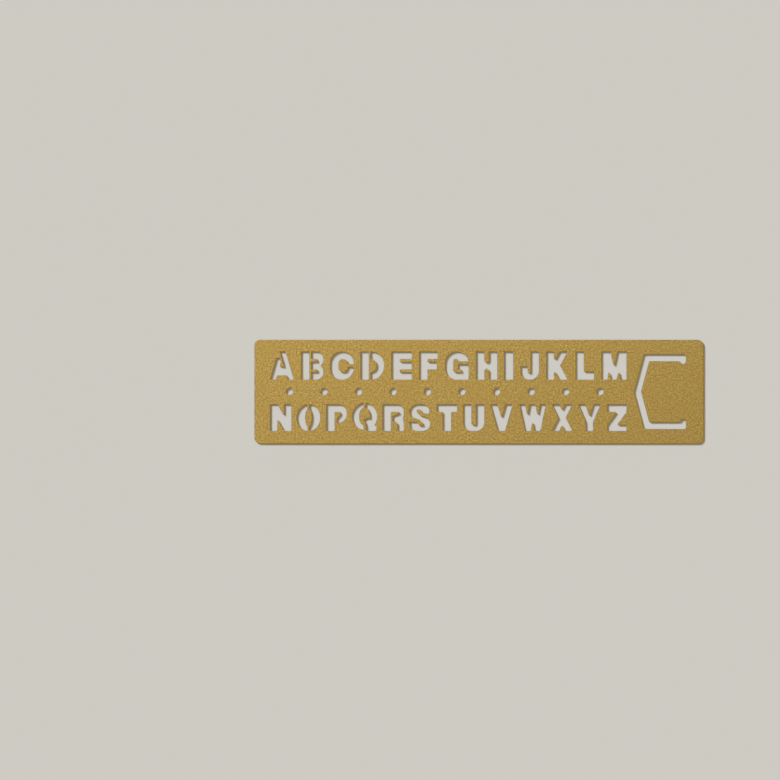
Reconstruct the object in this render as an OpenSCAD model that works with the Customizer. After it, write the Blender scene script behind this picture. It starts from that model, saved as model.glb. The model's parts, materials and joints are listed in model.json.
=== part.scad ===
// Lettering stencil and bookmark, cut from one thin sheet of brass.
// The sheet lies flat with its face up (+Z). Letters read along +X, capitals point to +Y.
// Origin: middle of the sheet, on its underside. Sizes in millimetres.

/* [Sheet] */
// Length of the sheet
plate_l = 104; // [100:1:130]
// Width of the sheet
plate_w = 24; // [22:0.5:34]
// Thickness of the sheet
plate_t = 0.3; // [0.2:0.05:0.8]
// Radius of the sheet's four corners
plate_corner_r = 1.3; // [0.4:0.1:3]

/* [Lettering] */
// Height of the upper row's capitals
cap_h = 6.5; // [5.6:0.1:7.2]
// Height of the lower row's capitals
lower_cap_h = 6.15; // [5.6:0.05:7.2]
// Margin from the sheet's left edge to the rows
row_margin = 3.65; // [3:0.05:5]
// Metal from the rows' last edge to the level of the clip slot's point
row_end_gap = 1.7; // [1:0.05:3]
// Distance between the middles of the two rows
row_pitch = 12.05; // [11:0.05:13.5]
// Extra gap after some letters, which is taken off after others
optical_shift = 0.15; // [0:0.05:0.2]
// Width of upright strokes
stem_w = 1.9; // [1.6:0.05:2.1]
// Height of level bars that stand alone, as in L, T and Z
bar_h = 1.85; // [1.5:0.05:2.1]
// Width of the slanted strokes of V, X and Y and the uprights of N, measured level
limb_w = 1.65; // [1.4:0.05:1.8]
// Width of the lighter slanted strokes of A, M and W, measured level
light_w = 1.3; // [1.2:0.05:1.5]
// Width of the stroke on the round side of bowls
side_w = 1.4; // [1.2:0.05:1.6]
// Width of the metal fingers that reach between two arms, as in E
finger_w = 0.7; // [0.5:0.05:0.9]
// Width of the narrow metal ties that carry a counter, as in O
tie_w = 0.45; // [0.35:0.05:0.6]
// Radius that the cutting leaves in every corner of a letter
cut_r = 0.15; // [0.05:0.01:0.2]

/* [Letter widths] */
// Width of the letter I
thin_letter_w = 2.1; // [1.9:0.05:2.4]
// Width of F, J and L
slim_letter_w = 4.25; // [4.1:0.05:4.4]
// Width of Z
lean_letter_w = 4.45; // [4.3:0.05:4.6]
// Width of E, P, S, T and X
narrow_letter_w = 4.7; // [4.5:0.05:4.9]
// Width of H, K, N, R and U
regular_letter_w = 4.9; // [4.8:0.05:5.1]
// Width of B, V and Y
full_letter_w = 5.15; // [5:0.05:5.3]
// Width of A, C, D, G and O
wide_letter_w = 5.45; // [5.2:0.05:5.6]
// Width of M and Q
broad_letter_w = 5.8; // [5.6:0.05:6]
// Width of W
widest_letter_w = 6.15; // [5.9:0.05:6.3]

/* [Guide dots] */
// Diameter of each guide dot
dot_d = 1.6; // [1:0.1:2.2]
// Number of guide dots
dot_count = 10; // [2:1:14]
// Distance from the sheet's left edge to the middle of the first dot
dot_margin = 8.15; // [4:0.05:12]
// Distance from the middle of the last dot to the level of the clip slot's point
dot_end_gap = 7.8; // [3:0.1:12]

/* [Page clip] */
// Distance from the sheet's right edge to the end of the clip's slot
clip_margin = 4.05; // [3:0.05:6]
// Length of the tongue from its point to the line where it bends
tongue_l = 9.75; // [8:0.05:10.5]
// Width of the tongue
tongue_w = 14.1; // [10:0.1:15]
// Slope of the two edges that meet in the tongue's point, from square
tongue_slope = 15; // [5:1:25]
// Width of the slot round the tongue
slot_w = 1.6; // [1:0.05:1.8]
// Radius of the slot's corners
slot_corner_r = 0.3; // [0.1:0.05:0.4]
// Radius of the round relief at each end of the slot
relief_r = 0.65; // [0.45:0.05:0.9]
// Hairline gap between tongue and sheet along the line where the tongue bends
flex_gap = 0.04; // [0.03:0.01:0.08]

/* [Hidden] */
// Steps in a full turn of a letter's curves
curve_fn = 40;
// Steps in a full turn where the cutting rounds a corner
corner_fn = 8;
// Extra reach of a cut past the shape that it opens
over = 0.5;
brass = [0.70, 0.57, 0.30];

upper_row = "ABCDEFGHIJKLM";
lower_row = "NOPQRSTUVWXYZ";
wider_after = "KSVY";
closer_after = "BCHNPQ";
// Arms of E, F and B share the cap height with two fingers
arm_h = (cap_h - 2 * finger_w) / 3;
// Left edge of a bowl that a tie parts from its stem
bowl_x = stem_w + tie_w;
mid_y = cap_h / 2;
// The line where the tongue bends runs through the two reliefs
slot_end_x = plate_l / 2 - clip_margin;
flex_x = slot_end_x - relief_r;
tip_x = flex_x - tongue_l;
slot_tip_x = tip_x - slot_w / cos(tongue_slope);
row_x = row_margin - plate_l / 2;
row_l = slot_tip_x - row_end_gap - row_x;
dot_x = dot_margin - plate_l / 2;
dot_pitch = (slot_tip_x - dot_end_gap - dot_x) / (dot_count - 1);
// The corners on both sides of a tie leave part of its width straight
letter_corner_r = min(cut_r, 0.4 * tie_w);

// Letters that share a width, with that width
letter_widths = [
    ["I", thin_letter_w],
    ["FJL", slim_letter_w],
    ["Z", lean_letter_w],
    ["EPSTX", narrow_letter_w],
    ["HKNRU", regular_letter_w],
    ["BVY", full_letter_w],
    ["ACDGO", wide_letter_w],
    ["MQ", broad_letter_w],
    ["W", widest_letter_w],
];

function width_of(c) = [for (group = letter_widths) if (len(search(c, group[0])) > 0) group[1]][0];

// What the gap after a letter has more than the mean one
function gap_shift(c) = optical_shift
    * (len(search(c, wider_after)) - len(search(c, closer_after)));

// Sum of the first n values of a list
function total(v, n) = n == 0 ? 0 : v[n - 1] + total(v, n - 1);

// Upright or level stroke, from its lower left corner
module block(x, y, w, h) {
    translate([x, y]) square([w, h]);
}

// Slanted stroke with level ends, whose left edge runs from x_low up to x_high
module limb(x_low, x_high, w, y_low = 0, y_high = cap_h) {
    polygon([[x_low, y_low], [x_low + w, y_low], [x_high + w, y_high], [x_high, y_high]]);
}

// Ellipse that fills a box
module oval(x, y, w, h) {
    translate([x + w / 2, y + h / 2]) scale([w / h, 1]) circle(d = h, $fn = curve_fn);
}

// Upright stroke with round ends
module capsule(x, y, w, h) {
    block(x, y + w / 2, w, h - w);
    for (end_y = [y + w / 2, y + h - w / 2])
        translate([x + w / 2, end_y]) circle(d = w, $fn = curve_fn);
}

// Box with its two right corners round
module bowl(x, y, w, h, r) {
    block(x, y, w - r, h);
    block(x, y + r, w, h - 2 * r);
    intersection() {
        block(x, y, w, h);
        for (corner_y = [y + r, y + h - r])
            translate([x + w - r, corner_y]) circle(r = r, $fn = curve_fn);
    }
}

// Box with its two lower corners round
module cup(x, y, w, h, r) {
    block(x, y + r, w, h - r);
    intersection() {
        block(x, y, w, h);
        union() {
            block(x + r, y, w - 2 * r, h);
            for (corner_x = [x + r, x + w - r])
                translate([corner_x, y + r]) circle(r = r, $fn = curve_fn);
        }
    }
}

// Shape with its left half repeated to the right of the middle of width w
module both_sides(w) {
    children();
    translate([w, 0]) mirror([1, 0]) children();
}

// A: two legs and a bar; a finger of metal comes in between them from the upper left
module letter_a(w) {
    apex_w = light_w + 0.4;
    left_leg_h = 5;
    bar_low = 1;
    bar_high = 3;
    outer_x = (w - apex_w) / 2;
    right_x = w - outer_x - light_w;
    lean = (w - light_w - right_x) / cap_h;
    finger_x = right_x + lean * (cap_h - bar_high);
    difference() {
        union() {
            limb(0, outer_x * left_leg_h / cap_h, light_w, 0, left_leg_h);
            limb(w - light_w, right_x, light_w);
            block(light_w / 2 + lean * bar_high, bar_low, w - light_w - 2 * lean * bar_high, bar_high - bar_low);
        }
        polygon([
            [right_x - tie_w, cap_h + over],
            [right_x, cap_h],
            [finger_x, bar_high],
            [finger_x - finger_w, bar_high],
        ]);
    }
}

// B: stem and a double bowl, whose two counters are fingers of the tie
module letter_b(w) {
    bowl_r = 1.8;
    block(0, 0, stem_w, cap_h);
    difference() {
        for (y = [0, cap_h - 2 * bowl_r])
            bowl(bowl_x, y, w - bowl_x, 2 * bowl_r, bowl_r);
        for (y = [arm_h, cap_h - arm_h - finger_w])
            block(bowl_x - over, y, w - side_w - bowl_x + over, finger_w);
    }
}

// C: round stroke, open at the right by the width of a finger
module letter_c(w) {
    difference() {
        capsule(0, 0, w, cap_h);
        capsule(stem_w, arm_h, w - stem_w - side_w, cap_h - 2 * arm_h);
        block(w / 2, mid_y - finger_w / 2, w, finger_w);
    }
}

// D: stem and a half-round bowl, whose counter swells out of the tie
module letter_d(w) {
    bowl_w = w - bowl_x;
    counter_w = bowl_w - stem_w + 0.2;
    block(0, 0, stem_w, cap_h);
    difference() {
        oval(bowl_x - bowl_w, 0, 2 * bowl_w, cap_h);
        oval(bowl_x - counter_w, arm_h, 2 * counter_w, cap_h - 2 * arm_h);
        block(bowl_x - w, -over, w, cap_h + 2 * over);
    }
}

// E: stem and three arms
module letter_e(w) {
    block(0, 0, stem_w, cap_h);
    for (k = [0 : 2])
        block(0, k * (arm_h + finger_w), w, arm_h);
}

// F: stem and two arms, the lower one a little shorter
module letter_f(w) {
    arm_step = 0.2;
    block(0, 0, stem_w, cap_h);
    block(0, cap_h - arm_h, w, arm_h);
    block(0, arm_h + finger_w, w - arm_step, arm_h);
}

// G: round stroke with a bar and a square spur at the right
module letter_g(w) {
    counter_w = 1.1;
    bar_top = 3.55;
    lobe_h = 0.65;
    lobe_l = 1.9;
    spur_w = w - stem_w - lobe_l;
    difference() {
        union() {
            capsule(0, 0, w, cap_h);
            block(w - spur_w, 0, spur_w, bar_top);
            block(w / 2, 0, w / 2, arm_h);
        }
        capsule(stem_w, arm_h, counter_w, cap_h - 2 * arm_h);
        block(stem_w + counter_w / 2, arm_h, lobe_l - counter_w / 2, lobe_h);
        block(stem_w + counter_w / 2, bar_top, w, finger_w);
    }
}

// H: two stems and a bar, with round-ended fingers between the stems
module letter_h(w) {
    bar = 1.4;
    notch_w = w - 2 * stem_w;
    notch_l = mid_y - bar / 2;
    difference() {
        block(0, 0, w, cap_h);
        capsule(stem_w, mid_y + bar / 2, notch_w, notch_l + notch_w);
        capsule(stem_w, -notch_w, notch_w, notch_l + notch_w);
    }
}

// I: one stem
module letter_i(w) {
    block(0, 0, w, cap_h);
}

// J: stem with a round hook
module letter_j(w) {
    hook_w = 1.65;
    hook_h = 3.05;
    notch_low = 1.5;
    difference() {
        union() {
            block(w - stem_w, w / 2, stem_w, cap_h - w / 2);
            cup(0, 0, w, hook_h, w / 2);
        }
        capsule(hook_w, notch_low, w - stem_w - hook_w, cap_h);
    }
}

// K: stem, and an arm and a leg that meet beside it
module letter_k(w) {
    knee_x = 3.15;
    knot_w = 2.2;
    knot_h = 3.1;
    arm_w = 1.85;
    block(0, 0, stem_w - 0.15, cap_h);
    block(0, mid_y - knot_h / 2, knot_w, knot_h);
    limb(knee_x - arm_w, w - arm_w, arm_w, mid_y, cap_h);
    limb(w - arm_w, knee_x - arm_w, arm_w, 0, mid_y);
}

// L: stem and foot
module letter_l(w) {
    block(0, 0, stem_w, cap_h);
    block(0, 0, w, bar_h);
}

// M: a block with one wedge of metal from above and two from below
module letter_m(w) {
    valley_w = 1.9;
    valley_h = 3.1;
    foot_w = 0.8;
    arch_h = 1.6;
    tip_w = 0.25;
    arch_x = light_w + 0.3;
    difference() {
        block(0, 0, w, cap_h);
        polygon([
            [(w - valley_w) / 2, cap_h + over],
            [(w + valley_w) / 2, cap_h + over],
            [(w + tip_w) / 2, cap_h - valley_h],
            [(w - tip_w) / 2, cap_h - valley_h],
        ]);
        both_sides(w)
            polygon([
                [light_w, -over],
                [(w - foot_w) / 2, -over],
                [arch_x + tip_w, arch_h],
                [arch_x, arch_h],
            ]);
    }
}

// N: two uprights and a slanted stroke
module letter_n(w) {
    slant_w = 1.85;
    slant_reach = 0.15;
    for (x = [0, w - limb_w])
        block(x, 0, limb_w, cap_h);
    intersection() {
        block(0, 0, w, cap_h);
        limb(w - limb_w, -slant_reach, slant_w);
    }
}

// O: two halves with an upright tie between them
module letter_o(w) {
    counter_w = 1.6;
    counter_h = cap_h - 2;
    difference() {
        oval(0, 0, w, cap_h);
        oval((w - counter_w) / 2, (cap_h - counter_h) / 2, counter_w, counter_h);
        block((w - tie_w) / 2, -over, tie_w, cap_h + 2 * over);
    }
}

// Counter of P and R: it opens downwards between the stem and the bowl's end
module hooked_counter(w, top_y, lip_h, turn_y, gap_w) {
    polygon([
        [stem_w, top_y],
        [w - side_w, top_y],
        [w - side_w, top_y - lip_h],
        [stem_w + gap_w, turn_y],
        [stem_w + gap_w, 0],
        [stem_w, 0],
    ]);
}

// P: stem and one bowl
module letter_p(w) {
    bowl_y = 2;
    bowl_r = 2;
    difference() {
        union() {
            block(0, 0, stem_w, cap_h);
            bowl(stem_w / 2, bowl_y, w - stem_w / 2, cap_h - bowl_y, bowl_r);
        }
        hooked_counter(w, cap_h - bar_h, 0.6, 3, 0.55);
    }
}

// Q: a ring that sits a little higher than O, with a tail that starts inside the counter
module letter_q(w) {
    counter_w = 2.6;
    counter_h = cap_h - 2;
    ring_lift = 0.3;
    tie_x = w / 2 - tie_w / 2;
    difference() {
        union() {
            translate([0, ring_lift])
                difference() {
                    oval(0, 0, w, cap_h);
                    oval((w - counter_w) / 2, (cap_h - counter_h) / 2, counter_w, counter_h);
                }
            polygon([
                [tie_x, 0],
                [tie_x, 2.7],
                [w / 2 + 0.6, 3.1],
                [w - 1.6, 3],
                [w - 0.8, 1.6],
                [w - 0.1, 1],
                [w - 0.3, 0],
            ]);
        }
        block(tie_x, mid_y, tie_w, cap_h);
        polygon([
            [tie_x, -over],
            [tie_x + 0.7, -over],
            [tie_x + 0.6, 1.6],
            [tie_x + 0.2, 2.6],
            [tie_x - 0.4, 2.6],
            [tie_x, 1],
        ]);
    }
}

// R: stem, bowl and leg, with a shallow waist at the right between bowl and leg
module letter_r(w) {
    bowl_y = 2.25;
    bowl_r = 1.7;
    leg_x = 0.45;
    waist_x = w - 0.2;
    waist_y = 2.9;
    waist_reach = 3;
    difference() {
        union() {
            block(0, 0, stem_w, cap_h);
            bowl(stem_w / 2, bowl_y, w - stem_w / 2, cap_h - bowl_y, bowl_r);
            limb(w - side_w, w - side_w - leg_x, side_w, bowl_y - leg_x, bowl_y);
            block(w - side_w, 0, side_w, bowl_y + bowl_r);
        }
        hooked_counter(w + 0.4, cap_h - bar_h, 0.35, 3.6, tie_w);
        polygon([
            [waist_x, waist_y],
            [w + over, waist_y - waist_reach],
            [w + over, waist_y + waist_reach],
        ]);
    }
}

// Upper counter of S, which opens to the right
module swept_counter(w) {
    polygon([
        [0.34 * w, 0.77 * cap_h],
        [0.37 * w, 0.81 * cap_h],
        [0.53 * w, 0.80 * cap_h],
        [0.68 * w, 0.66 * cap_h],
        [w + over, 0.65 * cap_h],
        [w + over, 0.45 * cap_h],
        [0.83 * w, 0.50 * cap_h],
        [0.53 * w, 0.57 * cap_h],
        [0.36 * w, 0.70 * cap_h],
    ]);
}

// S: two round halves; the lower counter is the upper one turned half round
module letter_s(w) {
    half_h = 3.5;
    half_r = 1.7;
    difference() {
        union() {
            bowl(w / 2, 0, w / 2, half_h, half_r);
            bowl(w / 2, cap_h - half_h, w / 2 - 0.2, half_h, half_r);
            translate([w, 0]) mirror([1, 0]) {
                bowl(w / 2, 0, w / 2, half_h, half_r);
                bowl(w / 2, cap_h - half_h, w / 2, half_h, half_r);
            }
        }
        swept_counter(w);
        translate([w, cap_h]) rotate(180) swept_counter(w);
    }
}

// T: bar on a stem
module letter_t(w) {
    block(0, cap_h - bar_h, w, bar_h);
    block((w - stem_w) / 2, 0, stem_w, cap_h);
}

// U: two stems in one round bottom
module letter_u(w) {
    bottom_h = 1.4;
    bottom_r = 2.1;
    difference() {
        cup(0, 0, w, cap_h, bottom_r);
        capsule(stem_w, bottom_h, w - 2 * stem_w, cap_h);
    }
}

// V: two limbs on one foot
module letter_v(w) {
    both_sides(w)
        limb((w - limb_w) / 2, 0, limb_w);
}

// W: four light limbs on two feet
module letter_w(w) {
    foot_x = 0.32 * w - light_w / 2;
    both_sides(w) {
        limb(foot_x, 0, light_w);
        limb(foot_x, (w - light_w) / 2, light_w);
    }
}

// X: two crossed limbs
module letter_x(w) {
    both_sides(w)
        limb(0, w - limb_w, limb_w);
}

// Y: two limbs on a stem
module letter_y(w) {
    stem_x = (w - limb_w) / 2;
    elbow_y = 2.2;
    fork_y = 3.4;
    polygon([
        [stem_x, 0],
        [stem_x, elbow_y],
        [0, cap_h],
        [limb_w, cap_h],
        [w / 2, fork_y],
        [w - limb_w, cap_h],
        [w, cap_h],
        [w - stem_x, elbow_y],
        [w - stem_x, 0],
    ]);
}

// Z: two bars and a slanted stroke between them
module letter_z(w) {
    foot_h = 1.45;
    slant_w = 2.25;
    block(0, 0, w, foot_h);
    block(0, cap_h - bar_h, w, bar_h);
    limb(0, w - slant_w, slant_w, foot_h, cap_h - bar_h);
}

module letter(c) {
    w = width_of(c);
    if (c == "A") letter_a(w);
    if (c == "B") letter_b(w);
    if (c == "C") letter_c(w);
    if (c == "D") letter_d(w);
    if (c == "E") letter_e(w);
    if (c == "F") letter_f(w);
    if (c == "G") letter_g(w);
    if (c == "H") letter_h(w);
    if (c == "I") letter_i(w);
    if (c == "J") letter_j(w);
    if (c == "K") letter_k(w);
    if (c == "L") letter_l(w);
    if (c == "M") letter_m(w);
    if (c == "N") letter_n(w);
    if (c == "O") letter_o(w);
    if (c == "P") letter_p(w);
    if (c == "Q") letter_q(w);
    if (c == "R") letter_r(w);
    if (c == "S") letter_s(w);
    if (c == "T") letter_t(w);
    if (c == "U") letter_u(w);
    if (c == "V") letter_v(w);
    if (c == "W") letter_w(w);
    if (c == "X") letter_x(w);
    if (c == "Y") letter_y(w);
    if (c == "Z") letter_z(w);
}

// Shape as the cutting leaves it, with every corner rounded to radius r
module cut_corners(r) {
    offset(r = r, $fn = corner_fn)
        offset(r = -2 * r, $fn = corner_fn)
            offset(r = r, $fn = corner_fn)
                children();
}

// One row of letters of height h, about the level y
module letter_row(letters, h, y) {
    widths = [for (c = letters) width_of(c)];
    last = len(letters) - 1;
    shifts = [for (i = [0 : last - 1]) gap_shift(letters[i])];
    gap = (row_l - total(widths, last + 1) - total(shifts, last)) / last;
    translate([row_x, y - h / 2])
        for (i = [0 : last])
            translate([total(widths, i) + total(shifts, i) + i * gap, 0])
                cut_corners(letter_corner_r)
                    scale([1, h / cap_h]) letter(letters[i]);
}

module guide_dots() {
    for (i = [0 : dot_count - 1])
        translate([dot_x + i * dot_pitch, 0])
            circle(d = dot_d, $fn = curve_fn);
}

// Outline of the tongue, grown on its three free sides and ended at x = end_x
module tongue_outline(grow, end_x) {
    half_w = tongue_w / 2 + grow;
    point_x = tip_x - grow / cos(tongue_slope);
    shoulder_x = point_x + half_w * tan(tongue_slope);
    polygon([
        [point_x, 0],
        [shoulder_x, half_w],
        [end_x, half_w],
        [end_x, -half_w],
        [shoulder_x, -half_w],
    ]);
}

// The slot that frees the tongue, with a round relief at each end
module clip_slot() {
    cut_corners(slot_corner_r) {
        difference() {
            tongue_outline(slot_w, slot_end_x);
            tongue_outline(0, slot_end_x + over);
        }
        for (y = [-tongue_w / 2, tongue_w / 2])
            translate([flex_x, y]) circle(r = relief_r, $fn = curve_fn);
    }
}

module sheet_outline() {
    r = plate_corner_r;
    square([plate_l - 2 * r, plate_w], center = true);
    square([plate_l, plate_w - 2 * r], center = true);
    for (x = [r - plate_l / 2, plate_l / 2 - r])
        for (y = [r - plate_w / 2, plate_w / 2 - r])
            translate([x, y]) circle(r = r, $fn = curve_fn);
}

// The sheet with its two rows of letters, the guide dots and the window for the tongue
module stencil_plate() {
    color(brass)
        linear_extrude(plate_t)
            difference() {
                sheet_outline();
                letter_row(upper_row, cap_h, row_pitch / 2);
                letter_row(lower_row, lower_cap_h, -row_pitch / 2);
                guide_dots();
                clip_slot();
                tongue_outline(slot_w / 2, flex_x + flex_gap / 2);
            }
}

// The springy tongue that grips a page; it bends at its root about the line x = flex_x
module page_clip_tongue() {
    color(brass)
        linear_extrude(plate_t)
            difference() {
                tongue_outline(0, flex_x - flex_gap / 2);
                clip_slot();
            }
}

stencil_plate();
page_clip_tongue();
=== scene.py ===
"""Looks of the lettering stencil: a satin brass sheet and its spring tongue, on a pale floor."""
import json
import math

import bmesh
import bpy
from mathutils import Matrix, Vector, geometry


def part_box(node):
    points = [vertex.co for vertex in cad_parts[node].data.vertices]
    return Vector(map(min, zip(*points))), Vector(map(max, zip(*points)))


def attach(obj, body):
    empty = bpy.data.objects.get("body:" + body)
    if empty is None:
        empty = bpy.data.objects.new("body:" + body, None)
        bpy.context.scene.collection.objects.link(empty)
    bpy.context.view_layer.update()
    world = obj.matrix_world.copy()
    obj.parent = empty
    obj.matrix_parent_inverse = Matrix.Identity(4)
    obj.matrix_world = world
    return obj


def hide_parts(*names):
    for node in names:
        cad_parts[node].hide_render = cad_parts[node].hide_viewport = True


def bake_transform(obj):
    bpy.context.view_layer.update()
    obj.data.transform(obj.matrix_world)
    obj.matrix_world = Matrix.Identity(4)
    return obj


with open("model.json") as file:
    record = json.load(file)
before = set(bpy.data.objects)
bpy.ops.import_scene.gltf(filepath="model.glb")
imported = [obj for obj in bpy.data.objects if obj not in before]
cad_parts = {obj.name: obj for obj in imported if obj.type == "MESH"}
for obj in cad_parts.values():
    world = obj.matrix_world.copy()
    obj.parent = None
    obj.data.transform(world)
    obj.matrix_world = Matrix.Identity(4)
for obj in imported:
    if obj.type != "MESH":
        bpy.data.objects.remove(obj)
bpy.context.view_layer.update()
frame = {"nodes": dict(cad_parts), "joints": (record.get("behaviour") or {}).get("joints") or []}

MM = 0.001

# Camera: the photograph's side and pixel size, and where the sheet's middle lies in it
PHOTO_PX = 780
PIXEL = 0.2316 * MM
SHEET_MID_PX = (478.78, 391.54)
LENS = 100
SENSOR = 36
CLIP_START = 0.01
CLIP_END = 20

# Rolled edge that the cutting leaves round every rim
EDGE_R = 0.055 * MM
EDGE_STEPS = 3

# Root of the tongue: the length of it next to the hinge line that is cut into strips, and how
# many strips
BEND_L = 3.6 * MM
BEND_STRIPS = 12

# Tolerances: points that are one, root edges either side of the hinge line, normals of the
# upper face, the sine under which two edges run on straight, and the angle of a sharp edge
WELD = 0.001 * MM
ROOT_SLACK = 0.05 * MM
FACING_UP = 0.9
STRAIGHT = 0.02
SHARP_ANGLE = math.radians(35)

# Brass: widths of the features of its pattern, depth of its relief, tint of its mottling
GRAIN = 0.4 * MM
MOTTLE = 1.7 * MM
PATCH = 7 * MM
RELIEF = 0.16 * MM
RELIEF_DEPTH = 0.02 * MM
ORANGE_TINT = (1.07, 0.95, 0.90)
# The most that the warm tone takes of the colour, in the middle of a patch
WARM_SHARE = 0.5
# The part of a noise node's range that its values fill
NOISE_SPAN = (0.3, 0.7)
# The Mix node's sockets for colours
MIX_FIRST, MIX_SECOND, MIX_RESULT = 6, 7, 2

# Floor, and the backdrop that the camera sees beyond it
FLOOR_SIZE = 12
FLOOR_DROP = 0.01 * MM
FLOOR_COLOUR = (0.62, 0.60, 0.555)
BACKDROP_COLOUR = (0.612, 0.594, 0.55)

# Key light, a low sun from the upper left
KEY_ENERGY = 4.8
KEY_COLOUR = (1.0, 1.09, 1.22)
KEY_SPREAD = math.radians(12)
KEY_ELEVATION = math.radians(22.5)
KEY_AZIMUTH = math.radians(137)

# Softboxes as (name, place, size, radiance)
SOFTBOXES = (
    ("overhead_softbox", (-0.10, 0.24, 1.0), 0.9, 0.98),
    ("side_softbox", (-0.38, 0.35, 0.61), 0.35, 0.6),
)

# World: fill light, and what the metal reflects
AMBIENT_COLOUR = (1.0, 0.87, 0.66)
AMBIENT_STRENGTH = 0.41
REFLECTED_COLOUR = (1.0, 0.985, 0.95)
# Height of a direction over which the reflected strength goes from low down to overhead
HEIGHT_SPAN = (0.3, 0.85)
LOW_STRENGTH = 0.8
OVERHEAD_STRENGTH = 0.24
# Cosine to the key light over which that side's strength comes in
KEY_SIDE_SPAN = (0.5, 1.0)
KEY_SIDE_STRENGTH = 0.15

hinge_x = frame["joints"][0]["pos_m"][0]
sheet_low, sheet_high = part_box("stencil_plate")
tongue_half_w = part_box("page_clip_tongue")[1].y


# Outlines, read from the frame

def faces_up(face):
    return face.normal.z > FACING_UP


def rims(node):
    """Closed loops round the node's upper face, with the metal on the left of the way along."""
    solid = bmesh.new()
    solid.from_mesh(frame["nodes"][node].data)
    bmesh.ops.remove_doubles(solid, verts=solid.verts, dist=WELD)
    following = {}
    for face in filter(faces_up, solid.faces):
        for corner in face.loops:
            if sum(map(faces_up, corner.edge.link_faces)) == 1:
                following[corner.vert] = corner.link_loop_next.vert
    loops = []
    while following:
        vert = next(iter(following))
        points = []
        while vert in following:
            points.append(Vector((vert.co.x, vert.co.y)))
            vert = following.pop(vert)
        loops.append(points)
    solid.free()
    return loops


def root_end(points):
    """Index of the point that ends the loop's edge along the tongue's root, or None."""
    for i, point in enumerate(points):
        before = points[i - 1]
        at_root = abs(point.x - before.x) < WELD and abs(point.x - hinge_x) < ROOT_SLACK
        if at_root and abs(point.y - before.y) > tongue_half_w:
            return i
    return None


outlines = {node: rims(node) for node in ("stencil_plate", "page_clip_tongue")}
root_corners = [
    (points, k)
    for loops in outlines.values()
    for points in loops
    if (end := root_end(points)) is not None
    for k in (end - 1, end)
]
root_y = sum(abs(points[k].y) for points, k in root_corners) / len(root_corners)
for points, k in root_corners:
    # Sheet and tongue are one metal: their edges meet on the hinge line
    points[k] = Vector((hinge_x, math.copysign(root_y, points[k].y)))


# Meshes

def inset(points, distance, seam):
    """The loop moved into the metal, except for its edge that ends at the point numbered seam."""
    count = len(points)
    lines = []
    for i, point in enumerate(points):
        way = (point - points[i - 1]).normalized()
        left = Vector((-way.y, way.x))
        shift = 0 if i == seam else distance
        lines.append((left, left.dot(point) + shift))
    moved = []
    for i in range(count):
        (a, p), (b, q) = lines[i], lines[(i + 1) % count]
        cross = a.x * b.y - a.y * b.x
        if abs(cross) < STRAIGHT:
            side = a + b
            reach = (p + q - side.dot(points[i])) / side.length_squared
            moved.append(points[i] + side * reach)
        else:
            moved.append(Vector(((p * b.y - q * a.y) / cross, (q * a.x - p * b.x) / cross)))
    return moved


def unfolded(points):
    """The loop less the ends of edges so short that moving it into the metal uses them up."""
    while True:
        moved = inset(points, EDGE_R, root_end(points))
        kept = []
        for i, point in enumerate(points):
            way = (point - points[i - 1]).normalized()
            if way.dot(moved[i] - moved[i - 1]) > WELD:
                kept.append(point)
        if len(kept) == len(points):
            return points
        points = kept


def rolled_profile():
    """Steps down a rim as (inset, height), from the upper face to the lower one."""
    turns = [math.pi / 2 * k / EDGE_STEPS for k in range(EDGE_STEPS + 1)]
    steps = [(EDGE_R * (1 - math.sin(t)), EDGE_R * (1 - math.cos(t))) for t in turns]
    upper = [(into, sheet_high.z - drop) for into, drop in steps]
    lower = [(into, sheet_low.z + drop) for into, drop in reversed(steps)]
    return upper + lower


def turn_flat_edges(solid):
    """Turn edges inside the flat faces until no triangle there is without area.

    The letters of a row share their top and bottom lines, so some triangles start as a line.
    """
    flats = [face for face in solid.faces if not face.smooth]
    inner = [edge for edge in solid.edges if not any(face.smooth for face in edge.link_faces)]
    bmesh.ops.beautify_fill(solid, faces=flats, edges=inner, method="AREA")


def rolled_solid(loops):
    """Closed solid between the frame's lower and upper faces, with rolled rims."""
    solid = bmesh.new()
    upper, lower = [], []
    for points in map(unfolded, loops):
        seam = root_end(points)
        rings = [
            [solid.verts.new((p.x, p.y, z)) for p in inset(points, into, seam)]
            for into, z in rolled_profile()
        ]
        upper.append(rings[0])
        lower.append(rings[-1])
        for above, below in zip(rings, rings[1:]):
            for i in range(len(points)):
                wall = solid.faces.new((above[i], above[i - 1], below[i - 1], below[i]))
                wall.material_index = 1
                wall.smooth = True
    for level in (upper, lower):
        verts = [vert for ring in level for vert in ring]
        for corners in geometry.tessellate_polygon([[v.co for v in ring] for ring in level]):
            solid.faces.new([verts[k] for k in corners])
    bmesh.ops.recalc_face_normals(solid, faces=solid.faces)
    turn_flat_edges(solid)
    return solid


def linked(thing):
    """The object, put in the scene."""
    bpy.context.scene.collection.objects.link(thing)
    return thing


def finished(solid, name, materials):
    """The solid as an object in the scene."""
    mesh = bpy.data.meshes.new(name)
    solid.normal_update()
    for edge in solid.edges:
        edge.smooth = edge.calc_face_angle() < SHARP_ANGLE
    solid.to_mesh(mesh)
    solid.free()
    for material in materials:
        mesh.materials.append(material)
    return linked(bpy.data.objects.new(name, mesh))


# Materials

def node_material(name):
    material = bpy.data.materials.new(name)
    material.use_nodes = True
    nodes = material.node_tree.nodes
    return material, nodes, material.node_tree.links, nodes["Principled BSDF"]


def noise(nodes, links, place, size, detail, roughness=0.5):
    """A noise node whose features are about size metres wide."""
    made = nodes.new("ShaderNodeTexNoise")
    made.inputs["Scale"].default_value = 1 / size
    made.inputs["Detail"].default_value = detail
    made.inputs["Roughness"].default_value = roughness
    links.new(place, made.inputs["Vector"])
    return made.outputs["Fac"]


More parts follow.
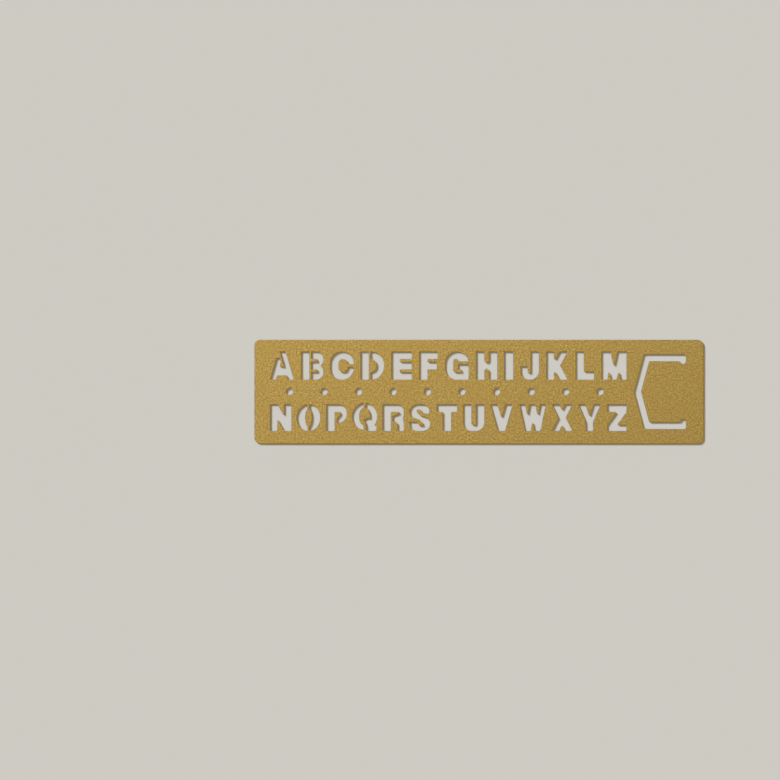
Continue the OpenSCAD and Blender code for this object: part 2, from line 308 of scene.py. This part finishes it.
def flat_place(nodes, links):
    """Texture place without its height, so that the pattern runs on from sheet to tongue."""
    coords = nodes.new("ShaderNodeTexCoord")
    flatten = nodes.new("ShaderNodeVectorMath")
    flatten.operation = "MULTIPLY"
    flatten.inputs[1].default_value = (1, 1, 0)
    links.new(coords.outputs["Object"], flatten.inputs[0])
    return flatten.outputs["Vector"]


def mapped(nodes, links, value, low, high, span=NOISE_SPAN, interpolation="LINEAR"):
    """A value brought from span to the range from low to high."""
    made = nodes.new("ShaderNodeMapRange")
    made.interpolation_type = interpolation
    made.inputs["From Min"].default_value, made.inputs["From Max"].default_value = span
    made.inputs["To Min"].default_value = low
    made.inputs["To Max"].default_value = high
    links.new(value, made.inputs["Value"])
    return made.outputs["Result"]


def mixed(nodes, links, factor, first, second, blend="MIX"):
    """A colour between two, each of them a colour or a socket."""
    made = nodes.new("ShaderNodeMix")
    made.data_type = "RGBA"
    made.blend_type = blend
    links.new(factor, made.inputs["Factor"])
    for socket, colour in ((made.inputs[MIX_FIRST], first), (made.inputs[MIX_SECOND], second)):
        if isinstance(colour, tuple):
            socket.default_value = (*colour, 1)
        else:
            links.new(colour, socket)
    return made.outputs[MIX_RESULT]


def brass(name, dark, light, warm, roughness, bump, metallic=1):
    """Bare brass: grain from dark to light, orange mottling, wide warm patches, fine relief."""
    material, nodes, links, shader = node_material(name)
    place = flat_place(nodes, links)
    grain = noise(nodes, links, place, GRAIN, detail=3, roughness=0.75)
    mottle = noise(nodes, links, place, MOTTLE, detail=2)
    patches = noise(nodes, links, place, PATCH, detail=2)
    tone = mixed(nodes, links, mapped(nodes, links, grain, 0, 1), dark, light)
    tinted = mapped(nodes, links, mottle, 0, 1)
    tone = mixed(nodes, links, tinted, tone, ORANGE_TINT, "MULTIPLY")
    colour = mixed(nodes, links, mapped(nodes, links, patches, 0, WARM_SHARE), tone, warm)
    links.new(colour, shader.inputs["Base Color"])
    links.new(mapped(nodes, links, grain, *roughness), shader.inputs["Roughness"])
    shader.inputs["Metallic"].default_value = metallic
    relief = nodes.new("ShaderNodeBump")
    relief.inputs["Strength"].default_value = bump
    relief.inputs["Distance"].default_value = RELIEF_DEPTH
    bumps = noise(nodes, links, place, RELIEF, detail=3, roughness=0.6)
    links.new(bumps, relief.inputs["Height"])
    links.new(relief.outputs["Normal"], shader.inputs["Normal"])
    return material


satin = brass(
    "satin_brass",
    dark=(0.235, 0.157, 0.032),
    light=(0.76, 0.55, 0.172),
    warm=(0.51, 0.33, 0.082),
    roughness=(0.48, 0.34),
    bump=1.0,
)
# Less than fully metallic, so that the lit rims scatter the low key light
cut_edge = brass(
    "cut_brass_edge",
    dark=(0.50, 0.365, 0.13),
    light=(0.59, 0.435, 0.16),
    warm=(0.54, 0.385, 0.135),
    roughness=(0.46, 0.36),
    bump=0.2,
    metallic=0.72,
)

# Pieces
sheet = finished(rolled_solid(outlines["stencil_plate"]), "sheet", (satin, cut_edge))
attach(sheet, "plate")
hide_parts("stencil_plate")

tongue_solid = rolled_solid(outlines["page_clip_tongue"])
for strip in range(1, BEND_STRIPS + 1):
    bmesh.ops.bisect_plane(
        tongue_solid,
        geom=[*tongue_solid.verts, *tongue_solid.edges, *tongue_solid.faces],
        dist=WELD,
        plane_co=(hinge_x - BEND_L * strip / BEND_STRIPS, 0, 0),
        plane_no=(1, 0, 0),
    )
tongue = finished(tongue_solid, "tongue", (satin, cut_edge))
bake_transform(tongue)
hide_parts("page_clip_tongue")

# Floor
floor_material, _, _, floor_shader = node_material("pale_floor")
floor_shader.inputs["Base Color"].default_value = (*FLOOR_COLOUR, 1)
floor_shader.inputs["Roughness"].default_value = 1
floor_shader.inputs["Specular IOR Level"].default_value = 0
bpy.ops.mesh.primitive_plane_add(size=FLOOR_SIZE, location=(0, 0, -FLOOR_DROP))
floor = bpy.context.object
floor.name = "floor"
floor.data.materials.append(floor_material)


# Light

def aim(lamp, towards):
    """Turn a lamp so that it shines from the given direction."""
    lamp.rotation_euler = towards.to_track_quat("Z", "Y").to_euler()


def softbox(name, place, size, radiance):
    """Square light that faces the sheet; only gloss and reflections show it."""
    light = bpy.data.lights.new(name, "AREA")
    light.shape = "SQUARE"
    light.size = size
    light.energy = math.pi * size ** 2 * radiance
    made = bpy.data.objects.new(name, light)
    made.location = place
    aim(made, Vector(place))
    made.visible_camera = False
    made.visible_diffuse = False
    linked(made)


key_level = math.cos(KEY_ELEVATION)
key_way = Vector((
    key_level * math.cos(KEY_AZIMUTH),
    key_level * math.sin(KEY_AZIMUTH),
    math.sin(KEY_ELEVATION),
))
key = bpy.data.lights.new("key", "SUN")
key.energy = KEY_ENERGY
key.color = KEY_COLOUR
key.angle = KEY_SPREAD
key_object = linked(bpy.data.objects.new("key", key))
aim(key_object, key_way)
key_object.visible_glossy = False

for box in SOFTBOXES:
    softbox(*box)

# World: metal reflects a studio that is pale low down and dimmer overhead, and a little
# brighter on the key light's side
world = bpy.data.worlds.new("studio")
world.cycles.sampling_method = "NONE"
bpy.context.scene.world = world
world.use_nodes = True
world_nodes, world_links = world.node_tree.nodes, world.node_tree.links
path = world_nodes.new("ShaderNodeLightPath")


def background(colour, strength):
    made = world_nodes.new("ShaderNodeBackground")
    made.inputs["Color"].default_value = (*colour, 1)
    made.inputs["Strength"].default_value = strength
    return made


def chosen(ray, otherwise, shown):
    """The shown background for one kind of ray, and the other one for the rest."""
    made = world_nodes.new("ShaderNodeMixShader")
    world_links.new(path.outputs[ray], made.inputs["Fac"])
    world_links.new(otherwise.outputs[0], made.inputs[1])
    world_links.new(shown.outputs[0], made.inputs[2])
    return made


def ramp(value, span, low, high):
    """A value brought smoothly from span to the range from low to high."""
    return mapped(world_nodes, world_links, value, low, high, span, "SMOOTHSTEP")


direction = world_nodes.new("ShaderNodeTexCoord").outputs["Generated"]
height = world_nodes.new("ShaderNodeSeparateXYZ")
world_links.new(direction, height.inputs[0])
key_side = world_nodes.new("ShaderNodeVectorMath")
key_side.operation = "DOT_PRODUCT"
key_side.inputs[1].default_value = key_way
world_links.new(direction, key_side.inputs[0])
by_height = ramp(height.outputs["Z"], HEIGHT_SPAN, LOW_STRENGTH, OVERHEAD_STRENGTH)
by_side = ramp(key_side.outputs["Value"], KEY_SIDE_SPAN, 0, KEY_SIDE_STRENGTH)
strength = world_nodes.new("ShaderNodeMath")
strength.operation = "ADD"
world_links.new(by_height, strength.inputs[0])
world_links.new(by_side, strength.inputs[1])
reflected = background(REFLECTED_COLOUR, 1)
world_links.new(strength.outputs[0], reflected.inputs["Strength"])
ambient = world_nodes["Background"]
ambient.inputs["Color"].default_value = (*AMBIENT_COLOUR, 1)
ambient.inputs["Strength"].default_value = AMBIENT_STRENGTH
lit = chosen("Is Glossy Ray", ambient, reflected)
seen = chosen("Is Camera Ray", lit, background(BACKDROP_COLOUR, 1))
world_links.new(seen.outputs[0], world_nodes["World Output"].inputs["Surface"])

# Camera
lens = bpy.data.cameras.new("camera")
lens.lens, lens.sensor_width = LENS, SENSOR
lens.clip_start, lens.clip_end = CLIP_START, CLIP_END
camera = linked(bpy.data.objects.new("camera", lens))
camera.location = (
    (PHOTO_PX / 2 - SHEET_MID_PX[0]) * PIXEL,
    (SHEET_MID_PX[1] - PHOTO_PX / 2) * PIXEL,
    sheet_high.z + PHOTO_PX * PIXEL * LENS / SENSOR,
)
bpy.context.scene.camera = camera
bpy.context.scene.view_settings.view_transform = "Standard"
